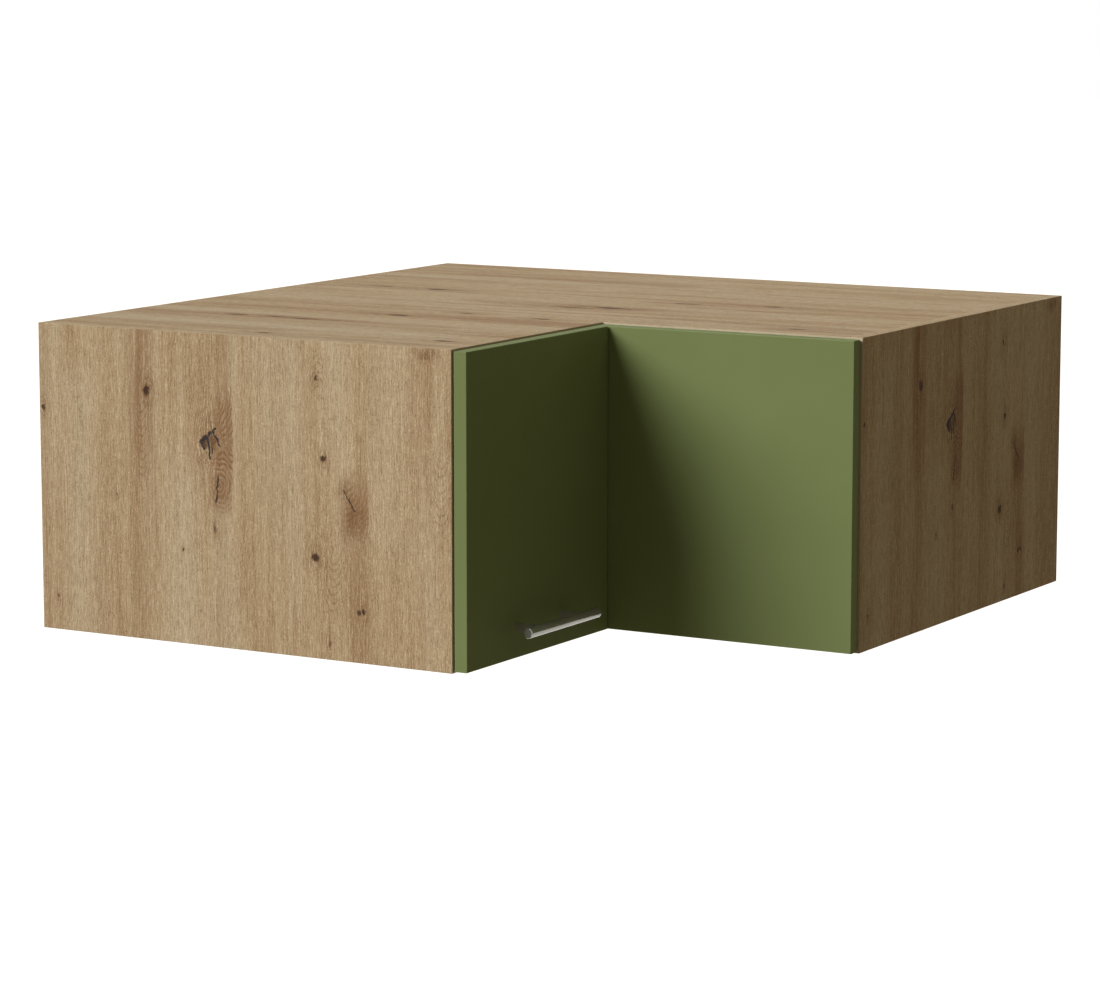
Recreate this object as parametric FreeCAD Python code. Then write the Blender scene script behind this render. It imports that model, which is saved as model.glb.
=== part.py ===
import FreeCAD, Part
import os

os.makedirs("parts", exist_ok=True)
V = FreeCAD.Vector

# Driving dimensions in mm. The two walls meet on the Z axis: X runs along the back wall,
# Y points at it, and Z is up from the underside.
WIDTH = 900.0          # along each wall
DEPTH = 565.0          # wall to the carcass's front edge
HEIGHT = 360.0
BOARD = 16.0           # carcass boards
DOOR = 16.0            # door leaves
DOOR_GAP = 2.0         # carcass front to door back
REVEAL = 2.0           # door edge inside the carcass outline
LEAF_GAP = 2.0         # left leaf's end to the right leaf's face
EDGE_ROUND = 0.6       # carcass board edges
FACE_ROUND = 0.8       # edges of a door's face
BACK_ROUND = 2.0       # upright back edges of a door where it hangs or folds
HINGE_INSET = 70.0     # hinges from the top and the underside

# Clearances
FIT = 0.05             # radial, for dowels, screws and pins that stay put
RUN = 0.05             # radial, for pins that turn
LOOSE = 0.2            # per side, for boards in grooves and sliding fits
SPARE = 0.5            # blind holes and grooves, past the end of what sits in them
SAME = 0.01            # two places this close count as one

# Places that follow from these
INNER = WIDTH - BOARD
DOOR_BACK = DEPTH + DOOR_GAP
DOOR_FACE = DOOR_BACK + DOOR
DOOR_END = WIDTH - REVEAL
UNDER_TOP = HEIGHT - BOARD
HINGE_LEVELS = {"lower": HINGE_INSET, "upper": HEIGHT - HINGE_INSET}

# Back boards and the post in the rear corner
BACK = 3.0
BACK_INSET = 18.0      # room behind the backs for the wall rail
GROOVE_DEEP = 8.0
GROOVE_WIDE = BACK + 2 * LOOSE
POST_X = 40.0
POST_Y = 60.0
POST_OFF_WALL = 1.0
POST_FACE = POST_OFF_WALL + POST_X
POST_FRONT = POST_OFF_WALL + POST_Y

# Knock-down fittings. Stations are distances behind the front edge of an end panel.
CAM_FRONT = 50.0
CAM_REAR = 65.0
DOWEL_FRONT = 82.0
DOWEL_REAR = 97.0
CAM_STATIONS = (CAM_FRONT, DEPTH - CAM_REAR)
DOWEL_STATIONS = (DOWEL_FRONT, DEPTH - DOWEL_REAR)
POST_DOWEL_INSET = 11.0
POST_DOWEL_FRONT = 42.0
POST_DOWEL_SIDE = 27.0
POST_DOWELS = ((POST_DOWEL_INSET, -POST_DOWEL_FRONT), (POST_DOWEL_SIDE, -POST_DOWEL_INSET))
BOARD_LEVELS = (BOARD / 2, HEIGHT - BOARD / 2)
DOWEL_R = 4.0
DOWEL_IN_PANEL = 10.0
DOWEL_IN_BOARD = 20.0
CAM_R = 7.5
CAM_DEEP = 12.5
CAM_REACH = 34.0       # end of the board to the middle of the cam
CAM_SLOT = 1.2         # width and depth of the cam's cross slot
CAM_SLOT_HALF = 5.5
BOLT_THREAD_R = 3.0
BOLT_THREAD = 10.5
BOLT_SHANK_R = 3.4
BOLT_SHANK = 24.0
BOLT_NECK_R = 2.0
BOLT_NECK = 31.0
BOLT_HEAD = 35.0
BOLT_BORE_R = 4.0

# Wall hangers
HANGER_THICK = 13.0
HANGER_DEEP = 36.0
HANGER_FRONT = BACK_INSET + GROOVE_WIDE + LOOSE
HANGER_TALL = 50.0
HANGER_HEADROOM = 14.0
HANGER_LOW = UNDER_TOP - HANGER_HEADROOM - HANGER_TALL
HANGER_PEG_R = 5.0
HANGER_PEG = 10.0
HANGER_PEG_INSET = 9.0
HANGER_PEG_LEVELS = (HANGER_LOW + HANGER_PEG_INSET, HANGER_LOW + HANGER_TALL - HANGER_PEG_INSET)
HOOK_TIP = 3.0         # hook tip off the wall
HOOK_THICK = 4.0
HOOK_OFF = 3.0         # hook off the panel that carries its hanger
HOOK_WIDE = 7.0
HOOK_FAR = HOOK_OFF + HOOK_WIDE
HOOK_INSIDE = 22.0     # length held in the hanger
HOOK_RISE = 25.0
HOOK_LOW = HANGER_LOW + HOOK_RISE
HOOK_TALL = 6.0
HOOK_LIP = 12.0
HANGER_SCREW_R = 2.5
HANGER_SCREW_HEAD_R = 3.5
HANGER_SCREW_HEAD = 1.5
HANGER_SCREW = 12.0
HANGER_ROUND = 1.5
WINDOW_MARGIN = 4.0    # round the hook, in the back boards

# Cup hinge with one pivot, between the right end panel and the right leaf
CUP_R = 17.4
CUP_WALL = 0.7
CUP_FLOOR = 0.9
CUP_DEEP = 12.2
CUP_EDGE = 20.5        # leaf edge to the middle of the cup
CUP_RIM_R = 19.0
CUP_RIM = 1.0
CUP_RIM_TRIM = 8.0     # the rim stops this far from the leaf edge
EAR_OFFSET = 9.5       # cup middle to its screws, along the leaf
EAR_SPREAD = 22.5      # and up or down
EAR_R = 6.5
PIVOT_EDGE = 7.0       # leaf edge to the pivot
PIVOT_DEEP = 8.5       # door back to the pivot
PIVOT_R = 1.25
KNUCKLE_R = 2.4
KNUCKLE_HALF = 3.5
LUG_INNER = 5.0
LUG_OUTER = 9.0
LUG_NEAR = 3.0         # lug past the pivot, towards the leaf edge
LUG_FAR = 3.5          # and away from it
ARM_THICK = 2.0
NECK_NEAR = 4.0        # neck off the end panel
ARM_WEB = 9.0          # arm's web off the end panel
ARM_HALF = 7.5
ARM_WALL = 1.5
ARM_BACK = 58.0        # arm's rear end behind the carcass front
ARM_FRONT = 10.0
NECK_BEND = 5.0        # where the neck slopes over to the web
NECK_LEAD = 1.5
PLATE = 2.0
PLATE_BACK = 37.0      # plate screws behind the carcass front
PLATE_HALF_LONG = 26.0
PLATE_HALF_WIDE = 8.0
PLATE_SCREW_SPREAD = 16.0
PLATE_ROUND = 4.0
BOSS_HALF = 5.5
BOSS_TOP = ARM_WEB - LOOSE / 2
BOSS_BACK = 56.0
BOSS_FRONT = 14.0
ARM_SCREW_FRONT = 24.0
ARM_SCREW_REAR = 46.0

# Fold hinge between the leaves
FOLD_BACK = 4.0        # pivot behind both leaf backs
FOLD_PIN_R = 1.5
FOLD_KNUCKLE_R = 2.5
FOLD_RISER = 12.0
FOLD_FOOT = 28.0
FOLD_FOOT_THICK = 1.5
FOLD_RIVET = 22.0
FOLD_RIVET_R = 1.5
FOLD_RIVET_HEAD_R = 2.6
FOLD_RIVET_HEAD = 1.2
EAR_GAP = 0.3
EAR_THICK = 3.0
FOLD_PLATE = 2.0
FOLD_PLATE_START = 22.0  # below the pivot's corner, along the left leaf
FOLD_PLATE_END = 62.0
FOLD_PLATE_HALF = 12.0
FOLD_EAR_SLOPE = 30.0  # the ears slope down to the plate from here
FOLD_EAR_END = 50.0
FOLD_SCREW_NEAR = 40.0
FOLD_SCREW_FAR = 56.0

# Small screws, each with a cross recess in its head
RECESS_RIM = 1.2       # rim left round the recess
RECESS_WIDE = 1.0
RECESS_DEEP = 0.9
WOOD_SCREW_R = 1.75
WOOD_SCREW = 11.0
WOOD_SCREW_HEAD_R = 3.3
WOOD_SCREW_HEAD = 1.3
PLATE_SCREW_R = 3.1
PLATE_SCREW = 11.0
PLATE_SCREW_HEAD_R = 5.0
PLATE_SCREW_HEAD = 2.5
ARM_SCREW_R = 2.0
ARM_SCREW_HEAD_R = 3.6
ARM_SCREW_HEAD = 2.0
ARM_SCREW = 7.0

# Bar handle on the left leaf
HANDLE_R = 6.0
HANDLE_LONG = 156.0
HANDLE_SPACING = 96.0
HANDLE_STAND = 31.0    # door face to the bar's middle
HANDLE_LEVEL = 37.0
HANDLE_CHAMFER = 0.8
HANDLE_Y = -(DOOR_END + DOOR_FACE + LEAF_GAP) / 2
POST_R = 5.0
SPIGOT_R = 3.0
SPIGOT = 4.0
HANDLE_SCREW_R = 2.0
HANDLE_SCREW = 27.0
HANDLE_SCREW_HEAD_R = 4.0
HANDLE_SCREW_HEAD = 2.2

# Soft pads between the left end panel and the left leaf
BUMPER_R = 4.0
BUMPER = 1.2
BUMPER_INSET = 30.0


def block(near, far):
    """A box between two opposite corners, given in any order."""
    low = V(min(near.x, far.x), min(near.y, far.y), min(near.z, far.z))
    size = V(abs(far.x - near.x), abs(far.y - near.y), abs(far.z - near.z))
    return Part.makeBox(size.x, size.y, size.z, low)


def rod(radius, start, end):
    """A round rod from one point to another."""
    run = end - start
    return Part.makeCylinder(radius, run.Length, start, run)


def prism(points, low, high):
    """An upright prism over a plan outline."""
    wire = Part.makePolygon([V(x, y, low) for x, y in points + points[:1]])
    return Part.Face(wire).extrude(V(0, 0, high - low))


def round_edges(shape, radius, wanted):
    """Fillet the edges whose middle point passes the test."""
    edges = [edge for edge in shape.Edges if wanted(edge.CenterOfMass)]
    return shape.makeFillet(radius, edges)


def near(value, target):
    return abs(value - target) < SAME


def screw_head(radius, seat, top):
    """A round head with a cross recess in its top."""
    out = (top - seat).normalize()
    sides = [axis for axis in (V(1, 0, 0), V(0, 1, 0), V(0, 0, 1)) if near(axis.dot(out), 0)]
    head = rod(radius, seat, top)
    for along, across in (sides, sides[::-1]):
        half = along * (radius - RECESS_RIM) + across * (RECESS_WIDE / 2)
        head = head.cut(block(top - half - out * RECESS_DEEP, top + half))
    return head


def save(name, shape):
    shape.exportStep("parts/" + name + ".step")


# Local places. Each gives a world point from distances that mean something at that joint.
def at_left_end(behind_front, into_board, z):
    """On the joint of a board with the left end panel."""
    return V(DEPTH - behind_front, into_board - INNER, z)


def at_right_end(behind_front, into_board, z):
    """On the joint of a board with the right end panel."""
    return V(INNER - into_board, behind_front - DEPTH, z)


def at_left_hanger(off_panel, off_wall, z):
    return V(off_wall, off_panel - INNER, z)


def at_corner_hanger(off_post, off_wall, z):
    return V(POST_FACE + off_post, -off_wall, z)


def at_right_hanger(off_panel, off_wall, z):
    return V(INNER - off_panel, -off_wall, z)


def at_hinge(off_panel, out, z):
    """From the right end panel's inner face and the carcass front."""
    return V(INNER - off_panel, -DEPTH - out, z)


def at_fold(right, back, z):
    """From the corner where the backs of the two leaves meet."""
    return V(DOOR_BACK + right, back - DOOR_BACK, z)


ENDS = (at_left_end, at_right_end)
HANGERS = {"left": at_left_hanger, "corner": at_corner_hanger, "right": at_right_hanger}
PIVOT_OFF_PANEL = PIVOT_EDGE + REVEAL - BOARD
PIVOT_OUT = DOOR_GAP + PIVOT_DEEP


# Knock-down fittings
def dowel_shapes(radius, spare):
    shapes = []
    for place in ENDS:
        for level in BOARD_LEVELS:
            for station in DOWEL_STATIONS:
                start = place(station, -DOWEL_IN_PANEL - spare, level)
                shapes.append(rod(radius, start, place(station, DOWEL_IN_BOARD + spare, level)))
    for x, y in POST_DOWELS:
        for joint, way in ((BOARD, 1), (UNDER_TOP, -1)):
            start = V(x, y, joint - way * (DOWEL_IN_PANEL + spare))
            shapes.append(rod(radius, start, V(x, y, joint + way * (DOWEL_IN_BOARD + spare))))
    return shapes


def cam_joints():
    """Every place, station and level where a cam draws a board to an end panel."""
    return [(place, station, level)
            for place in ENDS for level in BOARD_LEVELS for station in CAM_STATIONS]


def cam_bolt(place, station, level):
    def part(radius, start, end):
        return rod(radius, place(station, start, level), place(station, end, level))
    thread = part(BOLT_THREAD_R, -BOLT_THREAD, 0)
    shank = part(BOLT_SHANK_R, 0, BOLT_SHANK)
    neck = part(BOLT_NECK_R, BOLT_SHANK, BOLT_NECK)
    head = part(BOLT_SHANK_R, BOLT_NECK, BOLT_HEAD)
    return thread.fuse([shank, neck, head])


def cam_pocket(place, station, level, radius):
    middle = place(station, CAM_REACH, 0)
    if level < HEIGHT / 2:
        return rod(radius, middle + V(0, 0, BOARD), middle + V(0, 0, BOARD - CAM_DEEP))
    return rod(radius, middle + V(0, 0, UNDER_TOP), middle + V(0, 0, UNDER_TOP + CAM_DEEP))


def cam_disc(place, station, level):
    disc = cam_pocket(place, station, level, CAM_R - 2 * FIT)
    bore_end = place(station, CAM_REACH + BOLT_BORE_R, level)
    bore = rod(BOLT_BORE_R, place(station, CAM_REACH - CAM_R, level), bore_end)
    middle = place(station, CAM_REACH, BOARD if level < HEIGHT / 2 else UNDER_TOP)
    slot = V(CAM_SLOT_HALF, CAM_SLOT / 2, CAM_SLOT)
    turned = V(slot.y, slot.x, slot.z)
    return disc.cut([bore, block(middle - slot, middle + slot), block(middle - turned, middle + turned)])


def cam_drillings():
    holes = []
    for place, station, level in cam_joints():
        end = place(station, 0, level)
        holes.append(rod(BOLT_THREAD_R + FIT, place(station, -BOLT_THREAD - SPARE, level), end))
        holes.append(rod(BOLT_BORE_R, end, place(station, CAM_REACH, level)))
        holes.append(cam_pocket(place, station, level, CAM_R))
    return holes


# Wall hangers
def hanger_pegs(place, radius, spare):
    middle = HANGER_FRONT + HANGER_DEEP / 2
    return [rod(radius, place(0, middle, z), place(-HANGER_PEG - spare, middle, z))
            for z in HANGER_PEG_LEVELS]


def hanger_screw_parts(place, clearance):
    """Shank and head of both setting screws of one hanger."""
    face = HANGER_FRONT + HANGER_DEEP
    middle = HANGER_THICK / 2
    shapes = []
    for z in HANGER_PEG_LEVELS:
        seat = place(middle, face, z)
        shank = rod(HANGER_SCREW_R + clearance, place(middle, face - HANGER_SCREW, z), seat)
        head = screw_head(HANGER_SCREW_HEAD_R, seat, place(middle, face + HANGER_SCREW_HEAD, z))
        shapes.append(shank.fuse(head))
    return shapes


def hook_arm(place, clearance):
    low = place(HOOK_OFF - clearance, HOOK_TIP, HOOK_LOW - clearance)
    inner_end = HANGER_FRONT + HOOK_INSIDE + clearance
    return block(low, place(HOOK_FAR + clearance, inner_end, HOOK_LOW + HOOK_TALL + clearance))


def hanger_hook(place):
    lip_low = place(HOOK_OFF, HOOK_TIP, HOOK_LOW - HOOK_LIP)
    lip_high = place(HOOK_FAR, HOOK_TIP + HOOK_THICK, HOOK_LOW + HOOK_TALL)
    return hook_arm(place, 0).fuse(block(lip_low, lip_high)).removeSplitter()


def hanger_body(place):
    low = place(0, HANGER_FRONT, HANGER_LOW)
    body = block(low, place(HANGER_THICK, HANGER_FRONT + HANGER_DEEP, HANGER_LOW + HANGER_TALL))
    body = body.makeFillet(HANGER_ROUND, [e for e in body.Edges if near(e.Length, HANGER_TALL)])
    body = body.fuse(hanger_pegs(place, HANGER_PEG_R - 2 * FIT, 0))
    return body.cut([hook_arm(place, LOOSE)] + hanger_screw_parts(place, FIT))


def hook_window(place):
    """Opening in a back board that the hook passes through."""
    low = place(-GROOVE_DEEP, 0, HOOK_LOW - HOOK_LIP - WINDOW_MARGIN)
    high = HOOK_LOW + HOOK_TALL + WINDOW_MARGIN
    return block(low, place(HOOK_FAR + WINDOW_MARGIN, HANGER_FRONT, high))


# Carcass boards
def plate_screws(level, clearance, spare):
    """Both screws of one hinge plate, as solids or as the holes for them."""
    shapes = []
    for z in (level - PLATE_SCREW_SPREAD, level + PLATE_SCREW_SPREAD):
        seat = at_hinge(PLATE, -PLATE_BACK, z)
        shank = rod(PLATE_SCREW_R + clearance, at_hinge(-PLATE_SCREW - spare, -PLATE_BACK, z), seat)
        top = at_hinge(PLATE + PLATE_SCREW_HEAD, -PLATE_BACK, z)
        shapes.append(shank.fuse(screw_head(PLATE_SCREW_HEAD_R, seat, top)))
    return shapes


def back_groove(low, high):
    """Slots for both back boards, cut between two levels."""
    inner = BACK_INSET + GROOVE_WIDE
    right = block(V(POST_FACE - GROOVE_DEEP, -inner, low), V(INNER + GROOVE_DEEP, -BACK_INSET, high))
    left = block(V(BACK_INSET, -INNER - GROOVE_DEEP, low), V(inner, GROOVE_DEEP - POST_FRONT, high))
    return [right, left]


def carcass_drillings():
    holes = dowel_shapes(DOWEL_R + FIT, SPARE) + cam_drillings()
    holes += back_groove(BOARD - GROOVE_DEEP, UNDER_TOP + GROOVE_DEEP)
    for place in HANGERS.values():
        holes += hanger_pegs(place, HANGER_PEG_R, SPARE)
    for level in HINGE_LEVELS.values():
        holes += plate_screws(level, FIT, SPARE)
    return holes


def l_board(low):
    outline = [(0, 0), (INNER, 0), (INNER, -DEPTH), (DEPTH, -DEPTH), (DEPTH, -INNER), (0, -INNER)]
    board = prism(outline, low, low + BOARD)
    right_front = (INNER + DEPTH) / 2
    return round_edges(board, EDGE_ROUND, lambda p: not near(p.z, low + BOARD / 2) and (
        near(p.x, right_front) and near(p.y, -DEPTH) or near(p.x, DEPTH) and near(p.y, -right_front)))


def back_board(place_low, place_high):
    board = block(place_low, place_high)
    return board.cut([hook_window(place) for place in HANGERS.values()])


def carcass():
    holes = carcass_drillings()
    left_end = round_edges(block(V(0, -WIDTH, 0), V(DEPTH, -INNER, HEIGHT)), EDGE_ROUND,
                           lambda p: near(p.y, -WIDTH) or near(p.x, DEPTH))
    right_end = round_edges(block(V(INNER, -DEPTH, 0), V(WIDTH, 0, HEIGHT)), EDGE_ROUND,
                            lambda p: near(p.x, WIDTH) or near(p.y, -DEPTH))
    save("left_side_panel", left_end.cut(holes))
    save("right_side_panel", right_end.cut(holes))
    save("top_panel", l_board(UNDER_TOP).cut(holes))
    save("bottom_panel", l_board(0).cut(holes))

    back = BACK_INSET + LOOSE
    reach = GROOVE_DEEP - SPARE
    low = BOARD - reach
    high = UNDER_TOP + reach
    right_back = back_board(V(POST_FACE - reach, -back - BACK, low), V(INNER + reach, -back, high))
    left_back = back_board(V(back, -INNER - reach, low), V(back + BACK, reach - POST_FRONT, high))
    save("right_back_panel", right_back)
    save("left_back_panel", left_back)
    post = block(V(POST_OFF_WALL, -POST_FRONT, BOARD), V(POST_FACE, -POST_OFF_WALL, UNDER_TOP))
    save("corner_post", post.cut(holes))

    save("dowels", Part.makeCompound(dowel_shapes(DOWEL_R, 0)))
    save("cam_bolts", Part.makeCompound([cam_bolt(*joint) for joint in cam_joints()]))
    save("cam_discs", Part.makeCompound([cam_disc(*joint) for joint in cam_joints()]))


def hangers():
    screws = []
    for name, place in HANGERS.items():
        save(name + "_hanger", hanger_body(place))
        save(name + "_hanger_hook", hanger_hook(place))
        screws += hanger_screw_parts(place, 0)
    save("hanger_screws", Part.makeCompound(screws))


def bumpers():
    pads = []
    for z in (BUMPER_INSET, HEIGHT - BUMPER_INSET):
        middle = V(DEPTH, -WIDTH + BOARD / 2, z)
        pad = rod(BUMPER_R, middle, middle + V(BUMPER, 0, 0))
        pads.append(round_edges(pad, BUMPER / 2, lambda p: near(p.x, DEPTH + BUMPER)))
    save("door_bumpers", Part.makeCompound(pads))


# Cup hinges
def cup_middle(edge, way, level):
    """Middle of a cup's mouth, from the leaf edge it lies near. way is +1 towards +X."""
    return V(edge + way * CUP_EDGE, -DOOR_BACK, level)


def ear_places(middle, way):
    x = middle.x + way * EAR_OFFSET
    return [V(x, middle.y, middle.z - EAR_SPREAD), V(x, middle.y, middle.z + EAR_SPREAD)]


def cup_flange(middle, way):
    back = V(0, CUP_RIM, 0)
    rim = rod(CUP_RIM_R, middle, middle + back)
    edge_x = middle.x - way * CUP_EDGE
    rim = rim.cut(block(V(edge_x - way * CUP_EDGE, middle.y, middle.z - CUP_RIM_R),
                        V(edge_x + way * CUP_RIM_TRIM, middle.y + CUP_RIM, middle.z + CUP_RIM_R)))
    low, high = ear_places(middle, way)
    half = V(EAR_R, 0, 0)
    bridge = block(low - half, high + half + back)
    return rim.fuse([bridge, rod(EAR_R, low, low + back), rod(EAR_R, high, high + back)])


def hinge_cup(middle, way):
    shell = rod(CUP_R, middle, middle - V(0, CUP_DEEP, 0)).fuse(cup_flange(middle, way))
    hollow = rod(CUP_R - CUP_WALL, middle + V(0, CUP_RIM, 0), middle - V(0, CUP_DEEP - CUP_FLOOR, 0))
    screws = [rod(WOOD_SCREW_R + FIT, place - V(0, CUP_RIM, 0), place + V(0, CUP_RIM, 0))
              for place in ear_places(middle, way)]
    return shell.cut([hollow] + screws).removeSplitter()


def cup_screws(middle, way, clearance, spare):
    shapes = []
    for place in ear_places(middle, way):
        top = place + V(0, CUP_RIM, 0)
        shank = rod(WOOD_SCREW_R + clearance, place - V(0, WOOD_SCREW + spare, 0), top)
        shapes.append(shank.fuse(screw_head(WOOD_SCREW_HEAD_R, top, top + V(0, WOOD_SCREW_HEAD, 0))))
    return shapes


def pivot_lugs(middle, level):
    """The two lugs inside the cup that hold the pivot pin."""
    lugs = []
    for way in (-1, 1):
        low = at_hinge(PIVOT_OFF_PANEL - LUG_NEAR, PIVOT_OUT - LUG_NEAR, level + way * LUG_INNER)
        high = at_hinge(PIVOT_OFF_PANEL + LUG_FAR, DOOR_GAP + CUP_DEEP - CUP_FLOOR, level + way * LUG_OUTER)
        lugs.append(block(low, high))
    inside = rod(CUP_R - CUP_WALL / 2, middle, middle - V(0, CUP_DEEP, 0))
    return [lug.common(inside) for lug in lugs]


def pivot_rod(level, radius, half):
    low = at_hinge(PIVOT_OFF_PANEL, PIVOT_OUT, level - half)
    return rod(radius, low, low + V(0, 0, 2 * half))


def pivot_cup(level):
    middle = cup_middle(DOOR_END, -1, level)
    cup = hinge_cup(middle, -1).fuse(pivot_lugs(middle, level))
    return cup.cut(pivot_rod(level, PIVOT_R + FIT, LUG_OUTER)).removeSplitter()


def hinge_plate(level):
    base = block(at_hinge(0, -PLATE_BACK - PLATE_HALF_WIDE, level - PLATE_HALF_LONG),
                 at_hinge(PLATE, -PLATE_BACK + PLATE_HALF_WIDE, level + PLATE_HALF_LONG))
    base = base.makeFillet(PLATE_ROUND, [e for e in base.Edges if near(e.Length, PLATE)])
    boss = block(at_hinge(0, -BOSS_BACK, level - BOSS_HALF),
                 at_hinge(BOSS_TOP, -BOSS_FRONT, level + BOSS_HALF))
    return base.fuse(boss).cut(plate_screws(level, FIT, 0) + arm_screws(level, FIT)).removeSplitter()


def arm_screws(level, clearance):
    """Both screws that clamp the arm on its plate, as solids or as the holes for them."""
    shapes = []
    top = ARM_WEB + ARM_THICK
    for behind in (ARM_SCREW_FRONT, ARM_SCREW_REAR):
        seat = at_hinge(top, -behind, level)
        shank = rod(ARM_SCREW_R + clearance, at_hinge(top - ARM_SCREW, -behind, level), seat)
        head = screw_head(ARM_SCREW_HEAD_R, seat, at_hinge(top + ARM_SCREW_HEAD, -behind, level))
        shapes.append(shank.fuse(head))
    return shapes


def arm_neck(level):
    """The bent neck that reaches from the arm, round the end panel's edge, into the cup."""
    far = NECK_NEAR + ARM_THICK
    web_top = ARM_WEB + ARM_THICK
    inner = PIVOT_OUT - ARM_THICK / 2
    outer = PIVOT_OUT + ARM_THICK / 2
    profile = [
        (PIVOT_OFF_PANEL, inner), (NECK_NEAR, inner), (NECK_NEAR, -NECK_BEND),
        (ARM_WEB, -ARM_FRONT - NECK_LEAD), (ARM_WEB, -ARM_FRONT - NECK_BEND),
        (web_top, -ARM_FRONT - NECK_BEND), (web_top, -ARM_FRONT), (far, NECK_LEAD - NECK_BEND),
        (far, outer), (PIVOT_OFF_PANEL, outer)]
    plan = [(at_hinge(u, v, 0).x, at_hinge(u, v, 0).y) for u, v in profile]
    return prism(plan, level - KNUCKLE_HALF, level + KNUCKLE_HALF)


def hinge_arm(level):
    web_top = ARM_WEB + ARM_THICK
    web = block(at_hinge(ARM_WEB, -ARM_BACK, level - ARM_HALF),
                at_hinge(web_top, -ARM_FRONT, level + ARM_HALF))
    shapes = [arm_neck(level), pivot_rod(level, KNUCKLE_R, KNUCKLE_HALF)]
    for way in (-1, 1):
        low = at_hinge(PLATE + LOOSE, -ARM_BACK, level + way * (ARM_HALF - ARM_WALL))
        shapes.append(block(low, at_hinge(web_top, -BOSS_FRONT, level + way * ARM_HALF)))
    arm = web.fuse(shapes)
    bore = pivot_rod(level, PIVOT_R + RUN, KNUCKLE_HALF)
    return arm.cut([bore] + arm_screws(level, FIT)).removeSplitter()


# Fold hinges
def fold_rod(level, radius, low, high):
    start = at_fold(-FOLD_BACK, FOLD_BACK, level + low)
    return rod(radius, start, start + V(0, 0, high - low))


def plan_at_fold(points):
    return [(at_fold(right, back, 0).x, at_fold(right, back, 0).y) for right, back in points]


def fold_rivet(level, clearance):
    floor = CUP_FLOOR - CUP_DEEP
    foot_top = floor + FOLD_FOOT_THICK
    seat = at_fold(FOLD_RIVET, foot_top, level)
    shank = rod(FOLD_RIVET_R + clearance, at_fold(FOLD_RIVET, -CUP_DEEP, level), seat)
    return shank.fuse(rod(FOLD_RIVET_HEAD_R, seat, seat + V(0, FOLD_RIVET_HEAD, 0)))


def fold_cup(level):
    return hinge_cup(cup_middle(DOOR_BACK, 1, level), 1).cut(fold_rivet(level, FIT))


def fold_arm(level):
    floor = CUP_FLOOR - CUP_DEEP
    under = FOLD_BACK - ARM_THICK / 2
    over = FOLD_BACK + ARM_THICK / 2
    profile = [
        (-FOLD_BACK, under), (FOLD_RISER, under), (FOLD_RISER, floor), (FOLD_FOOT, floor),
        (FOLD_FOOT, floor + FOLD_FOOT_THICK), (FOLD_RISER + ARM_THICK, floor + FOLD_FOOT_THICK),
        (FOLD_RISER + ARM_THICK, over), (-FOLD_BACK, over)]
    arm = prism(plan_at_fold(profile), level - KNUCKLE_HALF, level + KNUCKLE_HALF)
    arm = arm.fuse(fold_rod(level, FOLD_KNUCKLE_R, -KNUCKLE_HALF, KNUCKLE_HALF))
    bore = fold_rod(level, FOLD_PIN_R + RUN, -KNUCKLE_HALF, KNUCKLE_HALF)
    return arm.cut([bore, fold_rivet(level, FIT)]).removeSplitter()


def fold_plate_screws(level, clearance, spare):
    shapes = []
    for along in (FOLD_SCREW_NEAR, FOLD_SCREW_FAR):
        seat = at_fold(-FOLD_PLATE, -along, level)
        shank = rod(WOOD_SCREW_R + clearance, at_fold(WOOD_SCREW + spare, -along, level), seat)
        shapes.append(shank.fuse(screw_head(WOOD_SCREW_HEAD_R, seat, seat - V(WOOD_SCREW_HEAD, 0, 0))))
    return shapes


def fold_plate(level):
    plate = block(at_fold(-FOLD_PLATE, -FOLD_PLATE_END, level - FOLD_PLATE_HALF),
                  at_fold(0, -FOLD_PLATE_START, level + FOLD_PLATE_HALF))
    outer = -FOLD_BACK - FOLD_KNUCKLE_R
    inner = -FOLD_BACK + FOLD_KNUCKLE_R
    ear = plan_at_fold([
        (outer, FOLD_BACK), (inner, FOLD_BACK), (inner, -FOLD_PLATE_START), (0, -FOLD_PLATE_START),
        (0, -FOLD_EAR_END), (-FOLD_PLATE, -FOLD_EAR_END), (outer, -FOLD_EAR_SLOPE)])
    near_z = KNUCKLE_HALF + EAR_GAP
    far_z = near_z + EAR_THICK
    shapes = []
    for low, high in ((-far_z, -near_z), (near_z, far_z)):
        shapes.append(prism(ear, level + low, level + high))
        shapes.append(fold_rod(level, FOLD_KNUCKLE_R, low, high))
    holes = fold_plate_screws(level, FIT, 0) + [fold_rod(level, FOLD_PIN_R + FIT, -far_z, far_z)]
    return plate.fuse(shapes).cut(holes).removeSplitter()


def fold_pin(level):
    half = KNUCKLE_HALF + EAR_GAP + EAR_THICK
    return fold_rod(level, FOLD_PIN_R, -half, half)


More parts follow.
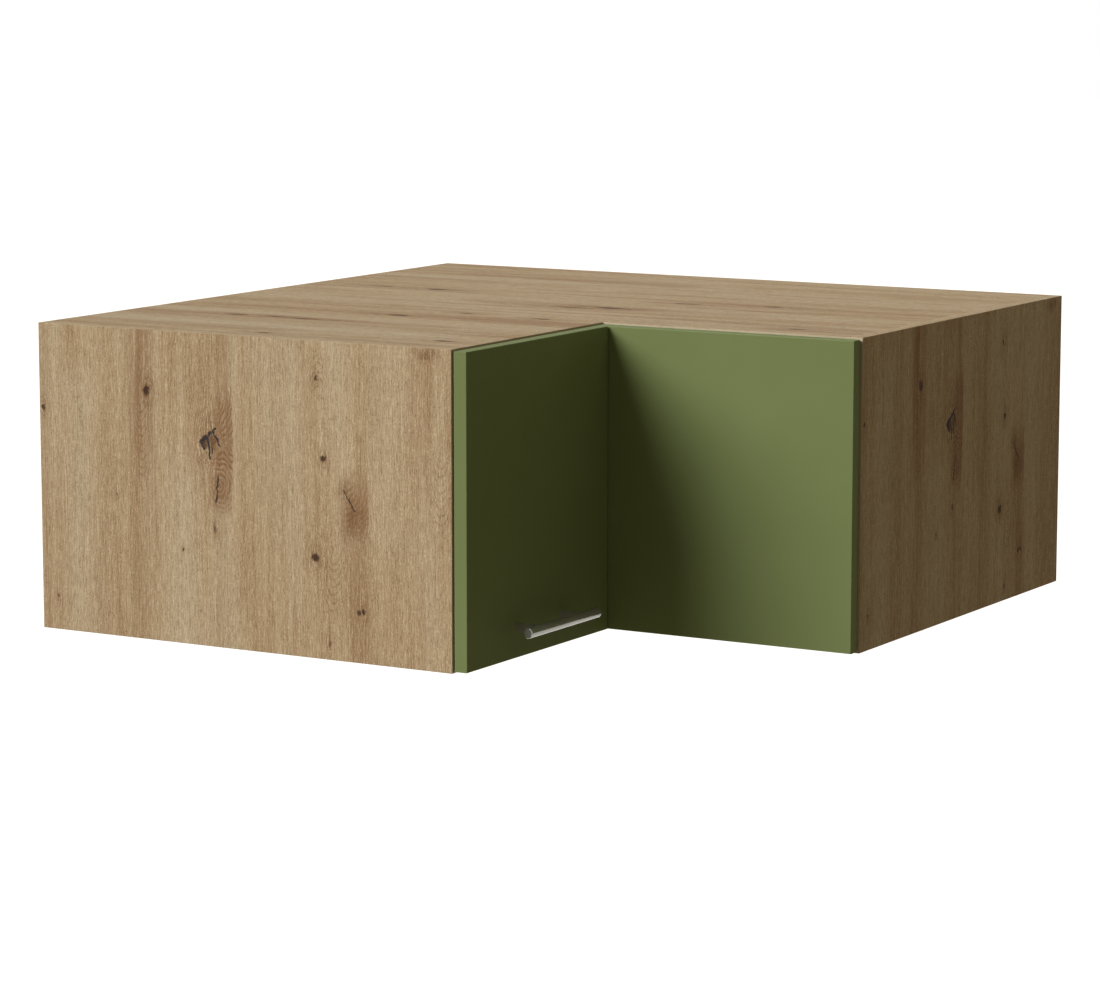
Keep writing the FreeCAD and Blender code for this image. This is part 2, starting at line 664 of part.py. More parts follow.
# Hinge hardware, every piece that repeats at both levels
def hinges():
    fixed_screws = []
    clamp_screws = []
    leaf_screws = []
    leaf_plate_screws = []
    for name, level in HINGE_LEVELS.items():
        save(name + "_hinge_plate", hinge_plate(level))
        save(name + "_hinge_arm", hinge_arm(level))
        save(name + "_hinge_cup", pivot_cup(level))
        save(name + "_fold_cup", fold_cup(level))
        save(name + "_fold_arm", fold_arm(level))
        save(name + "_fold_plate", fold_plate(level))
        fixed_screws += plate_screws(level, 0, 0)
        clamp_screws += arm_screws(level, 0)
        leaf_screws += leaf_cup_screws(level, 0, 0)
        leaf_plate_screws += fold_plate_screws(level, 0, 0)
    levels = HINGE_LEVELS.values()
    save("hinge_plate_screws", Part.makeCompound(fixed_screws))
    save("hinge_arm_screws", Part.makeCompound(clamp_screws))
    save("cup_screws", Part.makeCompound(leaf_screws))
    save("fold_plate_screws", Part.makeCompound(leaf_plate_screws))
    save("hinge_pins", Part.makeCompound([pivot_rod(level, PIVOT_R, LUG_OUTER) for level in levels]))
    save("fold_pins", Part.makeCompound([fold_pin(level) for level in levels]))
    save("fold_rivets", Part.makeCompound([fold_rivet(level, 0) for level in levels]))


def leaf_cup_screws(level, clearance, spare):
    hinge_side = cup_screws(cup_middle(DOOR_END, -1, level), -1, clearance, spare)
    return hinge_side + cup_screws(cup_middle(DOOR_BACK, 1, level), 1, clearance, spare)


# Door leaves
def right_door():
    leaf = block(V(DOOR_BACK, -DOOR_FACE, REVEAL), V(DOOR_END, -DOOR_BACK, HEIGHT - REVEAL))
    leaf = round_edges(leaf, FACE_ROUND, lambda p: near(p.y, -DOOR_FACE))
    leaf = round_edges(leaf, BACK_ROUND, lambda p: near(p.y, -DOOR_BACK) and near(p.z, HEIGHT / 2))
    holes = []
    for level in HINGE_LEVELS.values():
        for edge, way in ((DOOR_END, -1), (DOOR_BACK, 1)):
            middle = cup_middle(edge, way, level)
            holes.append(rod(CUP_R + 2 * FIT, middle, middle - V(0, CUP_DEEP + 2 * FIT, 0)))
        holes += leaf_cup_screws(level, FIT, SPARE)
    return leaf.cut(holes)


def handle_screw(y, clearance, spare):
    seat = V(DOOR_BACK, y, HANDLE_LEVEL)
    shank = rod(HANDLE_SCREW_R + clearance, seat, seat + V(HANDLE_SCREW + spare, 0, 0))
    return shank.fuse(screw_head(HANDLE_SCREW_HEAD_R, seat, seat - V(HANDLE_SCREW_HEAD, 0, 0)))


HANDLE_FEET = {"near": HANDLE_Y - HANDLE_SPACING / 2, "far": HANDLE_Y + HANDLE_SPACING / 2}


def left_door():
    fold_edge = -DOOR_FACE - LEAF_GAP
    leaf = block(V(DOOR_BACK, -DOOR_END, REVEAL), V(DOOR_FACE, fold_edge, HEIGHT - REVEAL))
    leaf = round_edges(leaf, FACE_ROUND, lambda p: near(p.x, DOOR_FACE))
    leaf = round_edges(leaf, BACK_ROUND, lambda p: near(p.x, DOOR_BACK) and near(p.y, fold_edge))
    holes = [handle_screw(y, FIT, 0) for y in HANDLE_FEET.values()]
    for level in HINGE_LEVELS.values():
        holes += fold_plate_screws(level, FIT, SPARE)
    return leaf.cut(holes)


# Handle
def spigot(y, clearance):
    bar_back = DOOR_FACE + HANDLE_STAND - HANDLE_R
    start = V(bar_back - SPIGOT, y, HANDLE_LEVEL)
    return rod(SPIGOT_R + clearance, start, V(bar_back + SPIGOT + clearance, y, HANDLE_LEVEL))


def bar_rod(radius):
    start = V(DOOR_FACE + HANDLE_STAND, HANDLE_Y - HANDLE_LONG / 2, HANDLE_LEVEL)
    return rod(radius, start, start + V(0, HANDLE_LONG, 0))


def handle():
    bar = bar_rod(HANDLE_R)
    bar = bar.makeChamfer(HANDLE_CHAMFER, [e for e in bar.Edges if e.Closed])
    save("handle_bar", bar.cut([spigot(y, FIT) for y in HANDLE_FEET.values()]))
    screws = []
    for name, y in HANDLE_FEET.items():
        foot = V(DOOR_FACE, y, HANDLE_LEVEL)
        post = rod(POST_R, foot, foot + V(HANDLE_STAND, 0, 0)).cut(bar_rod(HANDLE_R + FIT))
        post = min(post.Solids, key=lambda solid: solid.CenterOfMass.x)
        save(name + "_handle_post", post.fuse(spigot(y, 0)).cut(handle_screw(y, FIT, SPARE)).removeSplitter())
        screws.append(handle_screw(y, 0, 0))
    save("handle_screws", Part.makeCompound(screws))


carcass()
hangers()
bumpers()
hinges()
save("right_door", right_door())
save("left_door", left_door())
handle()
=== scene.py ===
import math
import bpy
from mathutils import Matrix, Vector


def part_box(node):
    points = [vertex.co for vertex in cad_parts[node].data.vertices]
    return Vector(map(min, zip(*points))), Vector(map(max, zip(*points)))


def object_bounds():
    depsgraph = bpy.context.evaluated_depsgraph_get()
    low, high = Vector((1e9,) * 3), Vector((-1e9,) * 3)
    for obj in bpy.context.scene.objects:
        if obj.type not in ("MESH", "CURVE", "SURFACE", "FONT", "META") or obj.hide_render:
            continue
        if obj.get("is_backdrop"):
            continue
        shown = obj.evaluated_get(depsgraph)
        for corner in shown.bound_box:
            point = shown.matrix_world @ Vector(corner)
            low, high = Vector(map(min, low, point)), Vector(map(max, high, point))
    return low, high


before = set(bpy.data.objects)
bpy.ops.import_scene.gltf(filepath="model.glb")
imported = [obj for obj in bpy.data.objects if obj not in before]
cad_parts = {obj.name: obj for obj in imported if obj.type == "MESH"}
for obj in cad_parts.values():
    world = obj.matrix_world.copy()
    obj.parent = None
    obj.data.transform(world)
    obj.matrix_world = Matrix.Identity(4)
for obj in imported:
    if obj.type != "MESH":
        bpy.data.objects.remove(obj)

from types import SimpleNamespace

import bmesh
import bpy
from mathutils import Matrix, Vector

cad_low, cad_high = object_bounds()

# End panels: the two 16 mm chipboards that close the wings, faced with a knotty oak print that is
# pressed with a brushed relief and runs upright. Both ends are cut from the same sheet, so the big
# knots come at the same places. A plain pale tape is glued on the front edges, and its colour is
# painted paler still, as a painted highlight for the light that falls into the seams beside the doors.


def paint(red, green, blue):
    """A colour written as it looks on a screen, 0 to 255, as the shader wants it."""
    return tuple(((c / 255 + 0.055) / 1.055) ** 2.4 for c in (red, green, blue)) + (1.0,)


def new_finish(name, roughness, specular=0.5, metallic=0.0):
    """A material with its plain shader, its node tree and the place on the piece in metres."""
    material = bpy.data.materials.new(name)
    material.use_nodes = True
    tree = material.node_tree
    shader = tree.nodes["Principled BSDF"]
    shader.inputs["Roughness"].default_value = roughness
    shader.inputs["Specular IOR Level"].default_value = specular
    shader.inputs["Metallic"].default_value = metallic
    place = tree.nodes.new("ShaderNodeTexCoord").outputs["Object"]
    return material, tree, shader, place


def wire(tree, socket, value):
    """Links an output to a socket, or sets the socket to a plain value."""
    if isinstance(value, bpy.types.NodeSocket):
        tree.links.new(value, socket)
    else:
        socket.default_value = value


def sums(tree, operation, *values):
    """One Math node."""
    node = tree.nodes.new("ShaderNodeMath")
    node.operation = operation
    for socket, value in zip(node.inputs, values):
        wire(tree, socket, value)
    return node.outputs[0]


def vectors(tree, operation, *values):
    """One Vector Math node."""
    node = tree.nodes.new("ShaderNodeVectorMath")
    node.operation = operation
    for socket, value in zip(node.inputs, values):
        wire(tree, socket, value)
    return node.outputs["Value" if operation in ("DOT_PRODUCT", "LENGTH") else "Vector"]


def joined(tree, *coords):
    """Loose coordinates as one vector."""
    node = tree.nodes.new("ShaderNodeCombineXYZ")
    for socket, coord in zip(node.inputs, coords):
        wire(tree, socket, coord)
    return node.outputs[0]


def axes_of(tree, place):
    """The three coordinates of a place, by letter."""
    node = tree.nodes.new("ShaderNodeSeparateXYZ")
    wire(tree, node.inputs[0], place)
    return dict(zip("XYZ", node.outputs))


def noise(tree, coords, counts, detail=2.0, rough=0.5, seed=0.0):
    """A cloudy pattern from 0 to 1, with so many patches a metre along each axis of its place."""
    node = tree.nodes.new("ShaderNodeTexNoise")
    spot = vectors(tree, "MULTIPLY_ADD", coords, counts, (seed, seed, seed))
    wire(tree, node.inputs["Vector"], spot)
    node.inputs["Scale"].default_value = 1.0
    node.inputs["Detail"].default_value = detail
    node.inputs["Roughness"].default_value = rough
    return node.outputs[0]


def fade(tree, value, start, end, low=0.0, high=1.0):
    """A smooth step from low to high, as a value goes from start to end."""
    node = tree.nodes.new("ShaderNodeMapRange")
    node.interpolation_type = "SMOOTHSTEP"
    for socket, number in zip(node.inputs, (value, start, end, low, high)):
        wire(tree, socket, number)
    return node.outputs[0]


# The sockets of a Mix node that are used when it mixes colours.
MIX_SHARE, MIX_FIRST, MIX_SECOND, MIX_COLOUR = 0, 6, 7, 2


def blended(tree, share, first, second):
    """One colour over another by a share."""
    node = tree.nodes.new("ShaderNodeMix")
    node.data_type = "RGBA"
    wire(tree, node.inputs[MIX_SHARE], share)
    wire(tree, node.inputs[MIX_FIRST], first)
    wire(tree, node.inputs[MIX_SECOND], second)
    return node.outputs[MIX_COLOUR]


def shades(tree, value, *stops):
    """A colour ramp of (position, colour) stops."""
    node = tree.nodes.new("ShaderNodeValToRGB")
    ramp = node.color_ramp
    while len(ramp.elements) < len(stops):
        ramp.elements.new(0.5)
    for element, (position, colour) in zip(ramp.elements, stops):
        element.position = position
        element.color = colour
    wire(tree, node.inputs[0], value)
    return node.outputs[0]


def relief(tree, shader, height, depth):
    """A bump of a height field from 0 to 1, as deep as depth in metres."""
    node = tree.nodes.new("ShaderNodeBump")
    node.inputs["Strength"].default_value = 1.0
    node.inputs["Distance"].default_value = depth
    wire(tree, node.inputs["Height"], height)
    tree.links.new(node.outputs[0], shader.inputs["Normal"])


def dress(finish, *names):
    """Puts a finish on CAD nodes."""
    for name in names:
        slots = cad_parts[name].data.materials
        slots.clear()
        slots.append(finish)


def near_point(tree, spot, centre_u, centre_v, half_u, half_v):
    """How far a place is from a centre, squared, with 1 at the rim of an upright oval."""
    off = vectors(tree, "MULTIPLY_ADD", spot, (1 / half_u, 1 / half_v, 0.0),
                  (-centre_u / half_u, -centre_v / half_v, 0.0))
    return vectors(tree, "DOT_PRODUCT", off, off)


def near_line(tree, spot, start, end):
    """How far a place is from a straight line between two places of the print, in metres."""
    run = (end[0] - start[0], end[1] - start[1], 0.0)
    off = vectors(tree, "SUBTRACT", vectors(tree, "MULTIPLY", spot, (1.0, 1.0, 0.0)), (*start, 0.0))
    reach = sums(tree, "DIVIDE", vectors(tree, "DOT_PRODUCT", off, run), run[0] ** 2 + run[1] ** 2)
    reach.node.use_clamp = True
    foot = vectors(tree, "MULTIPLY", run, joined(tree, reach, reach, reach))
    return vectors(tree, "LENGTH", vectors(tree, "SUBTRACT", off, foot))


def dying(tree, far):
    """1 at a centre, dying away as the squared distance grows."""
    return sums(tree, "EXPONENT", sums(tree, "MULTIPLY", far, -1.0))


def within(tree, value, low, high, soft):
    """1 between two ends, with soft ends."""
    return sums(tree, "MULTIPLY", fade(tree, value, low - soft, low + soft),
                fade(tree, value, high + soft, high - soft))


# A place nearer than the skin to a cut lies on it. The front is how far each wing comes forward.
SKIN = 0.0001
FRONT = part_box("left_side_panel")[1][0]


def on_cuts(tree, coord, *cuts):
    """1 on the planes that a board is cut along, by their places on one axis, and 0 elsewhere."""
    found = 0.0
    for cut in cuts:
        found = sums(tree, "MAXIMUM", found, sums(tree, "COMPARE", coord, cut, SKIN))
    return found


def front_tape_and_highlight(tree, coords):
    """1 on the edges that face out of the front of either wing, and 0 elsewhere."""
    left_front = sums(tree, "MULTIPLY", on_cuts(tree, coords["X"], FRONT),
                      sums(tree, "LESS_THAN", coords["Y"], SKIN - FRONT))
    right_front = sums(tree, "MULTIPLY", on_cuts(tree, coords["Y"], -FRONT),
                       sums(tree, "GREATER_THAN", coords["X"], FRONT - SKIN))
    return sums(tree, "MAXIMUM", left_front, right_front)


# How far the sides and the ends of a mark stray, in metres.
STRAY_ACROSS = 0.006
STRAY_ALONG = 0.008


def oak_sheet(tree, coords, node_name, across, along, shift):
    """Where a place lies on a board's print: u across the grain, v along it and w through the board.

    The print runs lengthwise on the narrow edges too. Torn places have strayed, for ragged marks.
    """
    low_end, high_end = (dict(zip("XYZ", corner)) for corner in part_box(node_name))
    long_edge = on_cuts(tree, coords[across], low_end[across], high_end[across])
    butt_edge = on_cuts(tree, coords[along], low_end[along], high_end[along])
    w = coords[({"X", "Y", "Z"} - {across, along}).pop()]
    flat_u = sums(tree, "ADD", coords[across], shift)
    edge_u = sums(tree, "MULTIPLY_ADD", long_edge, w, flat_u)
    u = sums(tree, "MULTIPLY_ADD", butt_edge, sums(tree, "SUBTRACT", w, flat_u), edge_u)
    turned = sums(tree, "SUBTRACT", flat_u, coords[along])
    v = sums(tree, "MULTIPLY_ADD", butt_edge, turned, coords[along])
    spot = joined(tree, u, v, w)
    ragged = sums(tree, "SUBTRACT", noise(tree, spot, (330, 170, 60), detail=3.0, rough=0.65), 0.5)
    drift = sums(tree, "SUBTRACT", noise(tree, spot, (120, 80, 30), rough=0.6, seed=9.2), 0.5)
    torn_u = sums(tree, "MULTIPLY_ADD", drift, STRAY_ACROSS, u)
    torn_v = sums(tree, "MULTIPLY_ADD", ragged, STRAY_ALONG, v)
    return SimpleNamespace(u=u, v=v, w=w, spot=spot, ragged=ragged, drift=drift, torn_u=torn_u,
                           torn_v=torn_v, torn=joined(tree, torn_u, torn_v, w))


# Widths and lengths round a knot, as multiples of its own, and how hard it frays and parts the grain.
HALO_WIDE, HALO_LONG = 2.2, 3.2
PARTED_WIDE, PARTED_LONG = 3.2, 5.0
KNOT_FRAY = 2.4
KNOT_PUSH = 0.4


def oak_knots(tree, sheet, knots):
    """Dark cores, brown halos and pale rims of knots, and how far they part the grain.

    A knot is (across, along, half width, half length, depth of its core, depth of its halo).
    """
    cores, halos, rims, parted = 0.0, 0.0, 0.0, 0.0
    for knot_u, knot_v, half_u, half_v, core_depth, halo_depth in knots:
        around = near_point(tree, sheet.torn, knot_u, knot_v, half_u * HALO_WIDE, half_v * HALO_LONG)
        halos = sums(tree, "MAXIMUM", halos, sums(tree, "MULTIPLY", dying(tree, around), halo_depth))
        if core_depth:
            far = near_point(tree, sheet.torn, knot_u, knot_v, half_u, half_v)
            frayed = sums(tree, "MULTIPLY_ADD", sheet.ragged, KNOT_FRAY, far)
            cores = sums(tree, "MAXIMUM", cores, fade(tree, frayed, 1.5, 0.2, high=core_depth))
            rims = sums(tree, "MAXIMUM", rims, within(tree, far, 2.2, 4.5, soft=1.0))
            wide = near_point(tree, sheet.spot, knot_u, knot_v,
                              half_u * PARTED_WIDE, half_v * PARTED_LONG)
            push = sums(tree, "MULTIPLY", sums(tree, "SUBTRACT", sheet.u, knot_u), dying(tree, wide))
            parted = sums(tree, "MULTIPLY_ADD", push, KNOT_PUSH, parted)
    return cores, halos, rims, parted


BAND_BROWN = paint(132, 99, 67)
BAND_PALE = paint(180, 163, 136)
BAND_SOFT = 0.04


def oak_bands(tree, sheet, colour, bands):
    """Long soft bands over a colour, and the share of the brown ones, which calms the pores.

    A band is (across, half width, from, to, depth), brown where the depth is above 0, else pale.
    """
    calm = 0.0
    for band_u, half, low, high, depth in bands:
        off = sums(tree, "DIVIDE", sums(tree, "SUBTRACT", sheet.bent, band_u), half)
        line = dying(tree, sums(tree, "MULTIPLY", off, off))
        uneven = fade(tree, sheet.rings, 0.3, 0.7, 1.35 * abs(depth), 0.65 * abs(depth))
        ends = within(tree, sheet.v, low, high, BAND_SOFT)
        share = sums(tree, "MULTIPLY", sums(tree, "MULTIPLY", line, uneven), ends)
        colour = blended(tree, share, colour, BAND_BROWN if depth > 0 else BAND_PALE)
        if depth > 0:
            calm = sums(tree, "MAXIMUM", calm, share)
    return colour, calm


ARCH_BROWN = paint(120, 91, 62)
ARCH_DEPTH = 0.42
ARCH_PITCH = 0.009
ARCH_SOFT = 0.015
ARCH_WAVER = 5.0


def oak_arches(tree, sheet, colour, arches):
    """Nests of bowed year lines over a colour.

    An arch is (across, half width, low, high, rise of a line to its side).
    """
    for arch_u, half, low, high, rise in arches:
        off = sums(tree, "DIVIDE", sums(tree, "SUBTRACT", sheet.bent, arch_u), half)
        bow = sums(tree, "MULTIPLY", off, off)
        lift = sums(tree, "MULTIPLY_ADD", bow, -rise, sheet.torn_v)
        sweep = sums(tree, "MULTIPLY", lift, math.tau / ARCH_PITCH)
        ripple = sums(tree, "SINE", sums(tree, "MULTIPLY_ADD", sheet.drift, ARCH_WAVER, sweep))
        ends = within(tree, sheet.v, low, high, ARCH_SOFT)
        patch = sums(tree, "MULTIPLY", fade(tree, bow, 1.2, 0.4), ends)
        share = sums(tree, "MULTIPLY", patch, fade(tree, ripple, 0.2, 1.0, high=ARCH_DEPTH))
        colour = blended(tree, share, colour, ARCH_BROWN)
    return colour


CURL_BROWN = paint(126, 90, 60)
CURL_SIDE = 0.001
CURL_SOFT = 0.02
CURL_RISE = 0.4
RIPPLE_WIDE, RIPPLE_LONG = 0.0046, 0.0060
RIPPLE_WAVER = 13.0
RIPPLE_FRAY = 4.0


def oak_curls(tree, sheet, colour, calm, curls):
    """Patches of curly grain over a colour, sharp on their right, which calm the pores too.

    A curl is (left, right, low, high, depth) and the place (across, along) its ripples run round.
    """
    for left, right, low, high, depth, round_u, round_v in curls:
        rise = fade(tree, sheet.torn_u, left, left + (right - left) * CURL_RISE)
        stop = fade(tree, sheet.torn_u, right + CURL_SIDE, right - CURL_SIDE)
        ends = within(tree, sheet.torn_v, low, high, CURL_SOFT)
        patch = sums(tree, "MULTIPLY", ends, sums(tree, "MULTIPLY", rise, stop))
        far = near_point(tree, sheet.spot, round_u, round_v, RIPPLE_WIDE, RIPPLE_LONG)
        turns = sums(tree, "MULTIPLY", sums(tree, "SQRT", far), math.tau)
        sweep = sums(tree, "MULTIPLY_ADD", sheet.drift, RIPPLE_WAVER, turns)
        ripple = sums(tree, "SINE", sums(tree, "MULTIPLY_ADD", sheet.ragged, RIPPLE_FRAY, sweep))
        faint = fade(tree, sheet.rings, 0.35, 0.65, depth * 0.2, depth * 0.55)
        share = sums(tree, "MULTIPLY", patch, sums(tree, "MULTIPLY_ADD", ripple, faint, depth))
        colour = blended(tree, share, colour, CURL_BROWN)
        calm = sums(tree, "MAXIMUM", calm, patch)
    return colour, calm


CRACK_FRAY = 0.003


def oak_cracks(tree, sheet, cracks):
    """1 in the cracks and 0 elsewhere.

    A crack is (from across, from along, to across, to along, half width).
    """
    splits = 0.0
    for start_u, start_v, end_u, end_v, half in cracks:
        off = near_line(tree, sheet.torn, (start_u, start_v), (end_u, end_v))
        frayed = sums(tree, "MULTIPLY_ADD", sheet.ragged, CRACK_FRAY, off)
        splits = sums(tree, "MAXIMUM", splits, fade(tree, frayed, half * 1.3, half * 0.5))
    return splits


OAK_TONES = ((0.0, paint(161, 136, 104)), (0.28, paint(168, 144, 112)),
             (0.55, paint(173, 151, 120)), (1.0, paint(178, 159, 130)))
STREAK_BROWN = paint(136, 102, 71)
HALO_BROWN = paint(120, 86, 57)
RIM_PALE = paint(188, 166, 132)
PORE_DARK = paint(104, 80, 54)
PORE_PALE = paint(212, 195, 166)
CORE_DARK = paint(60, 46, 38)
CRACK_DARK = paint(50, 45, 52)
# The tape colour is partly the real pale tape and partly a painted highlight for the lit seams.
TAPE_AND_HIGHLIGHT = paint(188, 176, 152)
RIM_DEPTH, CRACK_DEPTH, TAPE_AND_HIGHLIGHT_DEPTH = 0.22, 0.9, 0.8
PORE_DARK_DEPTH, PORE_PALE_DEPTH = 0.60, 0.57
CALMING = 0.6
SWAY = 0.007
OAK_RELIEF = 0.0004


def oak_print(name, node_name, across, along, shift, streak_depth, marks):
    """The oak foil, with the grain along one axis and brown streaks as strong as the streak depth.

    The marks are knots, bands, cracks, curls and arches, with their places in metres from a corner.
    """
    knots, bands, cracks, curls, arches = marks
    material, tree, shader, place = new_finish(name, 0.6, specular=0.02)
    coords = axes_of(tree, place)
    sheet = oak_sheet(tree, coords, node_name, across, along, shift)
    cores, halos, rims, parted = oak_knots(tree, sheet, knots)
    sway = sums(tree, "SUBTRACT", noise(tree, sheet.spot, (4, 3, 3), detail=1.0, seed=4.0), 0.5)
    sheet.bent = sums(tree, "SUBTRACT", sums(tree, "MULTIPLY_ADD", sway, SWAY, sheet.u), parted)
    grain = joined(tree, sheet.bent, sheet.v, sheet.w)
    sheet.rings = noise(tree, grain, (130, 4.0, 20), detail=1.0, seed=8.1)
    broad = noise(tree, grain, (17, 1.4, 5), seed=1.7)
    streaks = noise(tree, grain, (48, 1.7, 9), rough=0.55, seed=3.4)
    lines = noise(tree, grain, (1250, 16, 60), detail=1.0, seed=2.6)
    dashes = noise(tree, grain, (1350, 95, 200), detail=1.0, seed=6.3)
    specks = noise(tree, grain, (1250, 360, 300), detail=1.0, seed=5.1)

    tone = sums(tree, "MULTIPLY_ADD", broad, 0.74, sums(tree, "MULTIPLY", sheet.rings, 0.26))
    colour = shades(tree, fade(tree, tone, 0.34, 0.66), *OAK_TONES)
    colour = blended(tree, fade(tree, streaks, 0.52, 0.68, high=streak_depth), colour, STREAK_BROWN)
    colour, calm = oak_bands(tree, sheet, colour, bands)
    colour = oak_arches(tree, sheet, colour, arches)
    colour, calm = oak_curls(tree, sheet, colour, calm, curls)
    colour = blended(tree, halos, colour, HALO_BROWN)
    colour = blended(tree, sums(tree, "MULTIPLY", rims, RIM_DEPTH), colour, RIM_PALE)

    pores = sums(tree, "MULTIPLY_ADD", dashes, 0.40, sums(tree, "MULTIPLY", lines, 0.24))
    pores = sums(tree, "MULTIPLY_ADD", specks, 0.36, pores)
    lively = sums(tree, "MULTIPLY_ADD", calm, -CALMING, 1.0)
    for far_end, depth, tint in ((0.36, PORE_DARK_DEPTH, PORE_DARK), (0.64, PORE_PALE_DEPTH, PORE_PALE)):
        share = sums(tree, "MULTIPLY", lively, fade(tree, pores, 0.5, far_end, high=depth))
        colour = blended(tree, share, colour, tint)

    splits = oak_cracks(tree, sheet, cracks)
    tape_and_highlight = front_tape_and_highlight(tree, coords)
    colour = blended(tree, cores, colour, CORE_DARK)
    colour = blended(tree, sums(tree, "MULTIPLY", splits, CRACK_DEPTH), colour, CRACK_DARK)
    # Front edges: real pale tape, painted paler still as a highlight for the light in the seams.
    colour = blended(tree, sums(tree, "MULTIPLY", tape_and_highlight, TAPE_AND_HIGHLIGHT_DEPTH), colour, TAPE_AND_HIGHLIGHT)
    wire(tree, shader.inputs["Base Color"], colour)
    wire(tree, shader.inputs["Roughness"], fade(tree, lines, 0.3, 0.7, 0.68, 0.52))
    sunk = sums(tree, "MAXIMUM", splits, sums(tree, "MULTIPLY", cores, 0.5))
    relief(tree, shader, sums(tree, "SUBTRACT", pores, sunk), OAK_RELIEF)
    return material


# The marks of both ends, from the lower left corner of an end as one looks at it from outside.
END_KNOTS = (
    (0.154, 0.290, 0.0045, 0.0060, 0.9, 0.9),
    (0.2340, 0.2335, 0.0046, 0.0066, 0.75, 0.6),
    (0.242, 0.237, 0.0080, 0.0090, 0.4, 0.7),
    (0.247, 0.238, 0.0062, 0.0068, 0.0, 0.85),
    (0.2520, 0.180, 0.0050, 0.0065, 0.0, 0.45),
    (0.388, 0.318, 0.0024, 0.0032, 0.8, 0.5),
    (0.396, 0.228, 0.0034, 0.0038, 0.9, 0.7),
    (0.436, 0.162, 0.0068, 0.0070, 0.0, 0.85),
    (0.424, 0.194, 0.0045, 0.0040, 0.0, 0.6),
    (0.385, 0.115, 0.0050, 0.0048, 0.9, 0.75),
    (0.443, 0.057, 0.0024, 0.0032, 0.85, 0.7),
    (0.449, 0.058, 0.0024, 0.0032, 0.85, 0.7),
    (0.248, 0.136, 0.0028, 0.0038, 0.45, 0.6),
    (0.203, 0.109, 0.0016, 0.0020, 0.8, 0.4),
    (0.006, 0.261, 0.0024, 0.0032, 0.8, 0.6),
    (0.022, 0.040, 0.0020, 0.0028, 0.5, 0.6),
    (0.110, 0.167, 0.0014, 0.0020, 0.5, 0.4),
    (0.403, 0.018, 0.0020, 0.0028, 0.5, 0.5),
    (0.532, 0.351, 0.0040, 0.0020, 0.0, 0.8),
    (0.543, 0.354, 0.0030, 0.0016, 0.0, 0.7),
)
END_BANDS = (
    (0.006, 0.008, -0.05, 0.41, 0.32),
    (0.024, 0.014, -0.05, 0.20, 0.14),
    (0.058, 0.026, -0.05, 0.31, -0.6),
    (0.205, 0.030, -0.05, 0.22, -0.5),
    (0.147, 0.017, 0.19, 0.41, 0.64),
    (0.146, 0.016, -0.05, 0.19, 0.28),
    (0.262, 0.012, 0.25, 0.41, 0.42),
    (0.256, 0.012, -0.05, 0.16, 0.30),
    (0.330, 0.040, -0.05, 0.41, 0.12),
    (0.437, 0.013, 0.08, 0.15, 0.50),
    (0.443, 0.012, -0.05, 0.10, 0.45),
    (0.535, 0.018, -0.05, 0.41, 0.16),
    (0.480, 0.030, 0.12, 0.41, -0.35),
)
END_CRACKS = (
    (0.2293, 0.2359, 0.2370, 0.2418, 0.0030),
    (0.2370, 0.2418, 0.2434, 0.2466, 0.0022),
    (0.2434, 0.2466, 0.2493, 0.2522, 0.0015),
    (0.2470, 0.2480, 0.2530, 0.2390, 0.0015),
    (0.2530, 0.2390, 0.2559, 0.2326, 0.0011),
    (0.2385, 0.2400, 0.2418, 0.2175, 0.0014),
    (0.2446, 0.2300, 0.2467, 0.2231, 0.0010),
    (0.2296, 0.2345, 0.2350, 0.2270, 0.0012),
    (0.2537, 0.1981, 0.2515, 0.1830, 0.0010),
    (0.2519, 0.1800, 0.2495, 0.1679, 0.0010),
    (0.4229, 0.1943, 0.4300, 0.1835, 0.0007),
    (0.4300, 0.1835, 0.4380, 0.1713, 0.0009),
)
END_CURLS = (
    (0.245, 0.2735, 0.232, 0.292, 0.64, 0.225, 0.300),
    (0.240, 0.2735, 0.194, 0.240, 0.70, 0.2540, 0.187),
    (0.236, 0.2715, 0.160, 0.206, 0.62, 0.2540, 0.187),
    (0.412, 0.4560, 0.146, 0.206, 0.52, 0.425, 0.205),
)
END_ARCHES = (
    (0.147, 0.013, 0.185, 0.275, 0.030),
    (0.409, 0.020, 0.055, 0.125, 0.040),
    (0.551, 0.016, 0.160, 0.240, 0.035),
    (0.390, 0.016, 0.305, 0.345, -0.030),
)
END_MARKS = (END_KNOTS, END_BANDS, END_CRACKS, END_CURLS, END_ARCHES)
END_STREAKS = 0.14
for side, across, shift in (("left", "X", 0.0), ("right", "Y", FRONT)):
    panel = side + "_side_panel"
    dress(oak_print("oak_end_" + side, panel, across, "Z", shift, END_STREAKS, END_MARKS), panel)

